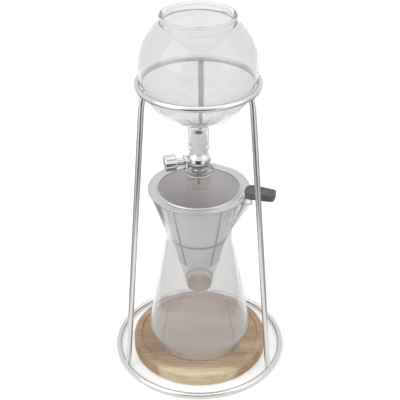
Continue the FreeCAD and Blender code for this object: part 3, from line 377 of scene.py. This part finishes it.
turned(rounded([(MOUTH_RADIUS, FLANGE_UNDER), (FLANGE, FLANGE_UNDER, 0.55),
                (FLANGE, FLANGE_TOP + FLANGE_EDGE, 0.5), (51.6, FLANGE_TOP + FLANGE_EDGE, 0.4),
                (51.2, FLANGE_TOP - FLANGE_GROOVE, 0.3), (48.9, FLANGE_TOP - FLANGE_GROOVE, 0.3),
                (48.4, FLANGE_TOP + FLANGE_EDGE / 2, 0.3), (45.2, FLANGE_TOP)])
       + arc((MOUTH_RADIUS + BEAD, FLANGE_TOP - FLANGE_GROOVE), BEAD, 15, 165, 12))
rim = only("filter_flange", "filter", "filter_rim", slot="sheet_steel")

# Stainless sheet, spun and left satin: fine rings about the axis, from the lathe.
sheet_steel, tree, shader = new_material("satin_stainless_sheet", Base_Color=hex_colour("#C8C8C7"),
                                         Metallic=1.0)
place = add(tree, "ShaderNodeTexCoord")
round_spot = add(tree, "ShaderNodeVectorMath", {"operation": "MULTIPLY"}, {1: (1, 1, 0)},
                 _0=place.outputs["Object"])
from_axis = add(tree, "ShaderNodeVectorMath", {"operation": "LENGTH"}, _0=round_spot.outputs[0])
lathe = add(tree, "ShaderNodeTexNoise", {"noise_dimensions": "1D"}, {"Scale": 2500, "Detail": 2},
            W=from_axis.outputs["Value"])
dull = add(tree, "ShaderNodeMapRange", {}, {"To Min": 0.24, "To Max": 0.38}, Value=lathe.outputs["Fac"])
tree.links.new(dull.outputs[0], shader.inputs["Roughness"])
relief = add(tree, "ShaderNodeBump", {}, {"Strength": 0.06, "Distance": 0.0002}, Height=lathe.outputs["Fac"])
tree.links.new(relief.outputs[0], shader.inputs["Normal"])
rim.data.materials.append(sheet_steel)

# Woven mesh: flat cloth of 0.1 mm wire rolled into a cone. Its threads follow the unrolled cloth and are
# drawn at 0.7 mm, coarser than the real ones, so that they show.
woven_mesh, tree, shader = new_material("woven_stainless_mesh", Metallic=0.35, Roughness=0.5)
THREAD = 0.7
apex = (TIP_HEIGHT - TIP_RADIUS / SLOPE) * MM
cone_sine = math.sin(math.atan(SLOPE))
place = add(tree, "ShaderNodeTexCoord")
from_apex = add(tree, "ShaderNodeVectorMath", {"operation": "SUBTRACT"}, {1: (0, 0, apex)},
                _0=place.outputs["Object"])
slant = add(tree, "ShaderNodeVectorMath", {"operation": "LENGTH"}, _0=from_apex.outputs[0])
part = add(tree, "ShaderNodeSeparateXYZ", Vector=from_apex.outputs[0])
bearing = add(tree, "ShaderNodeMath", {"operation": "ARCTAN2"}, _0=part.outputs["Y"], _1=part.outputs["X"])
unrolled = add(tree, "ShaderNodeMath", {"operation": "MULTIPLY"}, {1: cone_sine}, _0=bearing.outputs[0])
threads = []
for wave in ("COSINE", "SINE"):
    direction = add(tree, "ShaderNodeMath", {"operation": wave}, _0=unrolled.outputs[0])
    across = add(tree, "ShaderNodeMath", {"operation": "MULTIPLY"}, _0=direction.outputs[0],
                 _1=slant.outputs["Value"])
    phase = add(tree, "ShaderNodeMath", {"operation": "MULTIPLY"}, {1: 2 * math.pi / (THREAD * MM)},
                _0=across.outputs[0])
    thread = add(tree, "ShaderNodeMath", {"operation": "SINE"}, _0=phase.outputs[0])
    threads.append(add(tree, "ShaderNodeMath", {"operation": "MULTIPLY"}, _0=thread.outputs[0],
                       _1=thread.outputs[0]))
weave = add(tree, "ShaderNodeMath", {"operation": "MULTIPLY"}, _0=threads[0].outputs[0],
            _1=threads[1].outputs[0])
# Pale threads on raised lines, and darker holes sunk between them: the holes' darker colour is painted
# shade, standing for the dim inside of the cone seen through the open weave.
cloth = add(tree, "ShaderNodeMix", {"data_type": "RGBA"},
            {"A": hex_colour("#DCD9D9"), "B": hex_colour("#BDBABA")}, Factor=weave.outputs[0])
tree.links.new(cloth.outputs["Result"], shader.inputs["Base Color"])
relief = add(tree, "ShaderNodeBump", {"invert": True}, {"Strength": 0.4, "Distance": 0.0002},
             Height=weave.outputs[0])
tree.links.new(relief.outputs[0], shader.inputs["Normal"])
for name, node, inset in (("outer_cloth", "outer_mesh", 0), ("inner_cloth", "inner_mesh", LINING)):
    low, high = TIP_HEIGHT + MESH_START, FLANGE_UNDER
    turned([Vector((cone_at(low, -inset), low)), Vector((cone_at(high, -inset), high)),
            Vector((cone_at(high, -inset - MESH_THICK), high)),
            Vector((cone_at(low, -inset - MESH_THICK), low))])
    piece = only(name, "filter", node, slot="steel_mesh")
    piece.data.materials.append(woven_mesh)

# Frame: five upright strips and one hoop of bent sheet, spot-welded round the mesh.
HOOP_HEIGHT, HOOP_WIDTH, STRIP_WIDTH, STRIP_BACK, STRIP_FACE = FLANGE_UNDER - 55.5, 2.6, 1.4, 0.05, 0.65
STRIPS, FIRST_STRIP = 5, -54
low, high = HOOP_HEIGHT - HOOP_WIDTH / 2, HOOP_HEIGHT + HOOP_WIDTH / 2
turned(rounded([(cone_at(low, STRIP_BACK), low), (cone_at(low, STRIP_FACE), low, 0.25),
                (cone_at(high, STRIP_FACE), high, 0.25), (cone_at(high, STRIP_BACK), high)]))
bpy.ops.object.mode_set(mode="OBJECT")
hoop = bpy.context.object
low, high = TIP_HEIGHT + CAP_DEPTH + 0.05, FLANGE_UNDER
strips = []
for number in range(STRIPS):
    azimuth = math.radians(FIRST_STRIP + 360 / STRIPS * number)
    bpy.ops.mesh.primitive_cube_add(size=1)
    strip = bpy.context.object
    for vertex in strip.data.vertices:
        height = high if vertex.co.z > 0 else low
        reach = cone_at(height, STRIP_FACE if vertex.co.x > 0 else STRIP_BACK)
        spot = Vector((reach, STRIP_WIDTH / 2 * (1 if vertex.co.y > 0 else -1), height)) * MM
        vertex.co = Matrix.Rotation(azimuth, 3, "Z") @ spot
    strips.append(strip)
bpy.ops.object.select_all(action="DESELECT")
for strip in strips + [hoop]:
    strip.select_set(True)
bpy.context.view_layer.objects.active = hoop
bpy.ops.object.join()
strips_and_hoop = only("filter_strips", "filter", "filter_frame", slot="sheet_steel")
# Rolled stainless strip, duller and darker than the flange.
strip_steel, tree, shader = new_material("dark_stainless_strip", Base_Color=hex_colour("#A19E9E"),
                                         Metallic=1.0)
place = add(tree, "ShaderNodeTexCoord")
rolled = add(tree, "ShaderNodeTexNoise", {}, {"Scale": 700, "Detail": 2}, Vector=place.outputs["Object"])
dull = add(tree, "ShaderNodeMapRange", {}, {"To Min": 0.32, "To Max": 0.48}, Value=rolled.outputs["Fac"])
tree.links.new(dull.outputs[0], shader.inputs["Roughness"])
strips_and_hoop.data.materials.append(strip_steel)

# Cap: deep-drawn stainless cup, polished, that closes the tip of the cone.
CAP_RIM, CAP_WALL, CAP_FLOOR = TIP_HEIGHT + CAP_DEPTH, 0.65, TIP_HEIGHT + 1.2
turned(rounded([(0, TIP_HEIGHT), (cone_at(TIP_HEIGHT, CAP_WALL), TIP_HEIGHT, 4),
                (cone_at(CAP_RIM, CAP_WALL), CAP_RIM, 0.25), (cone_at(CAP_RIM, STRIP_BACK), CAP_RIM, 0.2),
                (cone_at(CAP_FLOOR, STRIP_BACK), CAP_FLOOR, 2.8), (0, CAP_FLOOR)]))
cap = only("filter_tip_cup", "filter", "filter_cap", slot="polished_steel")

# Stainless, drawn and polished: a near mirror with faint smears.
polished, tree, shader = new_material("polished_stainless", Base_Color=hex_colour("#DEDEDC"), Metallic=1.0)
place = add(tree, "ShaderNodeTexCoord")
smear = add(tree, "ShaderNodeTexNoise", {}, {"Scale": 160, "Detail": 4}, Vector=place.outputs["Object"])
dull = add(tree, "ShaderNodeMapRange", {}, {"To Min": 0.04, "To Max": 0.11}, Value=smear.outputs["Fac"])
tree.links.new(dull.outputs[0], shader.inputs["Roughness"])
cap.data.materials.append(polished)

# Handle: a tab of sheet steel with a pressed step and closed sides, welded on the flange, that runs into the
# grip.
GRIP_START, GRIP_END, GRIP_MIDDLE, GRIP_THICK = 49.8, 81.0, 211.25, 7.5
TAB_WIDTH, TAB_THICK, TAB_END, STEP_FOOT, STEP_TOP, STEP_END = 12.0, 1.2, 74.0, 44.8, 47.8, 51.4
GRIP_WIDTH, GRIP_END_WIDTH, GRIP_BORDER, GRIP_STEP, GRIP_PANEL = 19.5, 13.5, 2.2, 0.7, 0.9
grip_turn = Matrix.Rotation(math.radians(-16), 4, "Z")
over, under = GRIP_MIDDLE + TAB_THICK / 2, GRIP_MIDDLE - TAB_THICK / 2
outlined([Vector((reach, -TAB_WIDTH / 2, height)) * MM for reach, height in (
    (STEP_FOOT, FLANGE_TOP - 0.3), (STEP_FOOT, FLANGE_TOP + TAB_THICK),
    (STEP_FOOT + 1.5, FLANGE_TOP + TAB_THICK), (STEP_TOP, over), (TAB_END, over), (TAB_END, under),
    (STEP_END, under), (STEP_END, FLANGE_TOP - 0.3))])
bpy.ops.mesh.edge_face_add()
bpy.ops.mesh.extrude_region_move(TRANSFORM_OT_translate={"value": (0, TAB_WIDTH * MM, 0)})
bpy.ops.mesh.select_all(action="SELECT")
bpy.ops.mesh.normals_make_consistent(inside=False)
bpy.ops.object.mode_set(mode="OBJECT")
tab = bpy.context.object
soften = tab.modifiers.new("pressed_edges", "BEVEL")
soften.width, soften.segments = 0.4 * MM, 3
soften.limit_method, soften.angle_limit = "ANGLE", math.radians(20)
bpy.ops.object.modifier_apply(modifier="pressed_edges")
tab.data.transform(grip_turn)
tab = only("tab_pressing", "filter", "handle_tab", slot="sheet_steel")
tab.data.materials.append(sheet_steel)

# Grip: dark grey silicone moulded over the tab, with a sunken panel on top.
bpy.ops.mesh.primitive_cube_add(size=1)
grip = bpy.context.object
for vertex in grip.data.vertices:
    out = vertex.co.x > 0
    half_width = (GRIP_END_WIDTH if out else GRIP_WIDTH) / 2
    vertex.co = Vector((GRIP_END if out else GRIP_START, half_width * (1 if vertex.co.y > 0 else -1),
                        GRIP_MIDDLE + GRIP_THICK / 2 * (1 if vertex.co.z > 0 else -1))) * MM
bpy.ops.object.mode_set(mode="EDIT")
bpy.ops.mesh.select_all(action="DESELECT")
bpy.ops.mesh.select_mode(type="EDGE")
for reach, corner_round in ((GRIP_START, 7.5), (GRIP_END, 3.6)):
    bpy.ops.mesh.select_all(action="DESELECT")
    shape = bmesh.from_edit_mesh(grip.data)
    for edge in shape.edges:
        upper, lower = edge.verts
        edge.select = abs(upper.co.z - lower.co.z) > 0.001 and abs(upper.co.x - reach * MM) < 0.0001
    bmesh.update_edit_mesh(grip.data)
    bpy.ops.mesh.bevel(offset=corner_round * MM, segments=8, affect="EDGES")
bpy.ops.mesh.select_mode(type="VERT")
shape = bmesh.from_edit_mesh(grip.data)
bpy.ops.mesh.select_all(action="DESELECT")
for face in shape.faces:
    face.select = face.normal.z > 0.9
bmesh.update_edit_mesh(grip.data)
bpy.ops.mesh.inset(thickness=GRIP_BORDER * MM)
bpy.ops.mesh.inset(thickness=GRIP_STEP * MM)
bpy.ops.transform.translate(value=(0, 0, -GRIP_PANEL * MM))
bpy.ops.object.mode_set(mode="OBJECT")
soften = grip.modifiers.new("moulded_edges", "BEVEL")
soften.width, soften.segments = 1.1 * MM, 4
soften.limit_method, soften.angle_limit = "ANGLE", math.radians(35)
bpy.ops.object.modifier_apply(modifier="moulded_edges")
grip.data.transform(grip_turn)
grip = only("grip_moulding", "filter", "handle_grip", slot="grey_rubber")

# Moulded silicone, dark grey and matt, with a fine skin.
silicone_grip, tree, shader = new_material("dark_silicone", Roughness=0.55)
place = add(tree, "ShaderNodeTexCoord")
skin = add(tree, "ShaderNodeTexNoise", {}, {"Scale": 1400, "Detail": 3}, Vector=place.outputs["Object"])
shades = add(tree, "ShaderNodeMix", {"data_type": "RGBA"},
             {"A": hex_colour("#4E4E4E"), "B": hex_colour("#606060")}, Factor=skin.outputs["Fac"])
tree.links.new(shades.outputs["Result"], shader.inputs["Base Color"])
relief = add(tree, "ShaderNodeBump", {}, {"Strength": 0.2, "Distance": 0.0002}, Height=skin.outputs["Fac"])
tree.links.new(relief.outputs[0], shader.inputs["Normal"])
grip.data.materials.append(silicone_grip)


# The reservoir: a blown globe with a short neck, a rolled lip, and an outlet tube that ends in a bead.
GLOBE, GLOBE_HEIGHT, GLASS = 58.4, 340.86, 2.2
NECK, OUTLET, OUTLET_WALL, OUTLET_END = 36.0, 10.2, 1.6, 252.36
SWELL, LIP_RISE = 5.0, 5.4
inner, bore = GLOBE - GLASS, OUTLET - OUTLET_WALL
shoulder = math.degrees(math.acos(NECK / GLOBE))
inner_shoulder = math.degrees(math.acos((NECK - GLASS) / inner))
lip_height = GLOBE_HEIGHT + GLOBE * math.sin(math.radians(shoulder)) + LIP_RISE
swell_reach = OUTLET + SWELL
swell_height = GLOBE_HEIGHT - math.sqrt((GLOBE + SWELL) ** 2 - swell_reach ** 2)
inner_swell_height = GLOBE_HEIGHT - math.sqrt((inner + SWELL + OUTLET_WALL) ** 2 - swell_reach ** 2)
root = math.degrees(math.atan2(swell_height - GLOBE_HEIGHT, swell_reach))
inner_root = math.degrees(math.atan2(inner_swell_height - GLOBE_HEIGHT, swell_reach))
turned(rounded([(bore, OUTLET_END), (OUTLET + 0.4, OUTLET_END, 0.9), (OUTLET + 0.9, OUTLET_END + 3.6, 2.4),
                (OUTLET, OUTLET_END + 7, 2), (OUTLET, swell_height - 0.5)])
       + arc((swell_reach, swell_height), SWELL, 180, 180 + root, 8)
       + arc((0, GLOBE_HEIGHT), GLOBE, root + 1, shoulder - 1.5, 72)
       + arc((NECK - GLASS / 2, lip_height), GLASS, -58, 238, 18)
       + arc((0, GLOBE_HEIGHT), inner, inner_shoulder - 1, inner_root + 1, 72)
       + arc((swell_reach, inner_swell_height), SWELL + OUTLET_WALL, 180 + inner_root, 180, 8), steps=160)
globe = only("globe_blown", "reservoir", "reservoir_globe", "outlet_tube", slot="glass")
globe.data.materials.append(clear_glass)
globe.visible_shadow = globe.visible_diffuse = False

# Stopper: clear silicone plug, pushed into the outlet round the steel tube.
VALVE_TOP, VALVE_FOOT, PLUG_TOP, PLUG, PLUG_BORE = 249.16, 232.16, 270.16, 8.55, 4.65
turned(rounded([(PLUG_BORE, VALVE_TOP), (PLUG, VALVE_TOP, 0.5), (PLUG, 259.4, 0.6), (7.8, PLUG_TOP, 0.6),
                (PLUG_BORE, PLUG_TOP)]), steps=64)
plug = only("silicone_plug", "reservoir", "outlet_stopper", slot="silicone")
# Clear silicone, a little milky and cloudier in places.
silicone, tree, shader = new_material("clear_silicone", Base_Color=hex_colour("#F8F8F6"), IOR=1.41,
                                      Transmission_Weight=0.3)
place = add(tree, "ShaderNodeTexCoord")
cloud = add(tree, "ShaderNodeTexNoise", {}, {"Scale": 300, "Detail": 2}, Vector=place.outputs["Object"])
milky = add(tree, "ShaderNodeMapRange", {}, {"To Min": 0.3, "To Max": 0.45}, Value=cloud.outputs["Fac"])
tree.links.new(milky.outputs[0], shader.inputs["Roughness"])
plug.data.materials.append(silicone)

# Valve: chromed brass barrel with a side boss, hexagon gland nut, knob and collar nut.
SPINDLE, KNOB_AZIMUTH = Vector((0, 0, 239.16)), math.radians(193.5)
OUT = Vector((math.cos(KNOB_AZIMUTH), math.sin(KNOB_AZIMUTH), 0))
UP = Vector((0, 0, 1))
# Chrome on brass: a mirror with faint smears.
chrome, tree, shader = new_material("chromed_brass", Base_Color=hex_colour("#DCDCDC"), Metallic=1.0)
place = add(tree, "ShaderNodeTexCoord")
smear = add(tree, "ShaderNodeTexNoise", {}, {"Scale": 220, "Detail": 4}, Vector=place.outputs["Object"])
dull = add(tree, "ShaderNodeMapRange", {}, {"To Min": 0.03, "To Max": 0.09}, Value=smear.outputs["Fac"])
tree.links.new(dull.outputs[0], shader.inputs["Roughness"])
TUBE_SEAT, NOZZLE_SEAT, BOSS_END, NUT_END, SPINDLE_BORE = 4.7, 3.2, 12.9, 15.5, 2.56
turned([Vector((TUBE_SEAT, VALVE_TOP))]
       + rounded([(TUBE_SEAT, VALVE_TOP), (8.4, VALVE_TOP), (8.4, VALVE_TOP - 0.9),
                  (9.7, VALVE_TOP - 0.9, 0.4), (12.1, 243.5, 9), (12.3, 238.2, 7),
                  (9.0, VALVE_FOOT, 0.6), (NOZZLE_SEAT, VALVE_FOOT)])
       + [Vector((NOZZLE_SEAT, VALVE_FOOT + 2.5)), Vector((TUBE_SEAT, VALVE_FOOT + 3))], steps=96)
bpy.ops.object.mode_set(mode="OBJECT")
barrel = bpy.context.object
turned(rounded([(6.6, 6), (6.6, BOSS_END, 0.3), (4.5, BOSS_END), (4.5, 8.5), (2.6, 8.5), (2.6, 6)]),
       steps=64, foot=SPINDLE, axis=OUT, side=UP)
bpy.ops.object.mode_set(mode="OBJECT")
barrel.select_set(True)
bpy.context.view_layer.objects.active = barrel
bpy.ops.object.join()
barrel = only("valve_barrel", "reservoir", "valve_body", slot="polished_steel")
barrel.data.materials.append(chrome)
turned(rounded([(SPINDLE_BORE, 10.7), (4.4, 10.7), (4.4, BOSS_END), (7.85, BOSS_END, 0.3),
                (7.85, NUT_END, 0.9), (SPINDLE_BORE, NUT_END, 0.2)]),
       steps=6, foot=SPINDLE, axis=OUT, side=UP)
gland = only("gland_hexagon", "reservoir", "gland_nut", slot="polished_steel", angle=25)
gland.data.materials.append(chrome)
COLLAR, COLLAR_FOOT = 8.4, 226.96
turned(rounded([(NOZZLE_SEAT, COLLAR_FOOT), (COLLAR, COLLAR_FOOT, 1.2), (COLLAR, VALVE_FOOT, 1.2),
                (NOZZLE_SEAT, VALVE_FOOT)]), steps=96)
collar = only("collar_round", "reservoir", "collar_nut", slot="polished_steel")
collar.data.materials.append(chrome)
NOZZLE, NOZZLE_BORE, NOZZLE_TIP, NOZZLE_STEP, NOZZLE_TOP = 3.1, 1.0, 211.96, 218.96, 234.61
turned(rounded([(NOZZLE_BORE, NOZZLE_TIP), (1.5, NOZZLE_TIP, 0.25), (2.3, NOZZLE_STEP),
                (NOZZLE, NOZZLE_STEP, 0.3), (NOZZLE, NOZZLE_TOP), (NOZZLE_BORE, NOZZLE_TOP)]), steps=48)
nozzle = only("nozzle_tip", "reservoir", "drip_nozzle", slot="polished_steel")
nozzle.data.materials.append(chrome)

# Knob: turned, with soft edges and a shallow dish in its face.
HUB, HUB_START, KNOB, KNOB_START, KNOB_END, BORE_END = 3.8, 15.8, 8.6, 23.4, 35.5, 33.4
turned([Vector((0, BORE_END))]
       + rounded([(SPINDLE_BORE, BORE_END), (SPINDLE_BORE, HUB_START), (HUB, HUB_START, 0.4),
                  (HUB, KNOB_START, 0.6), (KNOB, KNOB_START, 1.4), (KNOB, KNOB_END, 1.4),
                  (6, KNOB_END, 0.5)])
       + [Vector((5.4, KNOB_END - 0.5)), Vector((0, KNOB_END - 0.7))],
       steps=96, foot=SPINDLE, axis=OUT, side=UP, closed=False)
knob = only("knob_turned", "knob", "valve_knob", slot="polished_steel")
knob.data.materials.append(chrome)

# Shroud: clear moulded sleeve with a flared lip, clamped between the collar nut and the nozzle.
SHROUD_FLOOR, SHROUD_END, SHROUD_LIP = 225.56, 209.56, 229.36
turned(rounded([(NOZZLE_SEAT, SHROUD_FLOOR), (11.6, SHROUD_FLOOR, 1.0), (11.0, SHROUD_END),
                (12.4, SHROUD_END, 0.6), (13.0, SHROUD_FLOOR, 3.0), (15.6, SHROUD_LIP, 0.5),
                (14.2, SHROUD_LIP, 0.5), (11.6, COLLAR_FOOT, 1.0), (NOZZLE_SEAT, COLLAR_FOOT)]), steps=96)
shroud = only("shroud_moulding", "reservoir", "drip_shroud", slot="clear_plastic")
clear_plastic, tree, shader = new_material("clear_moulded_plastic", Base_Color=hex_colour("#F0F0EE"),
                                           Roughness=0.05, IOR=1.49, Transmission_Weight=1.0)
shroud.data.materials.append(clear_plastic)
shroud.visible_shadow = shroud.visible_diffuse = False

# Small parts inside the glass and the valve keep their CAD shapes: turned steel, and a black rubber seal.
black_seal, tree, shader = new_material("black_seal_rubber", Base_Color=hex_colour("#1C1C1C"), Roughness=0.6)
for name, finish in (("inlet_tube", sheet_steel), ("needle", sheet_steel), ("knob_spindle", polished),
                     ("knob_screw", sheet_steel), ("spindle_seal", black_seal)):
    nodes[name].data.materials.clear()
    nodes[name].data.materials.append(finish)
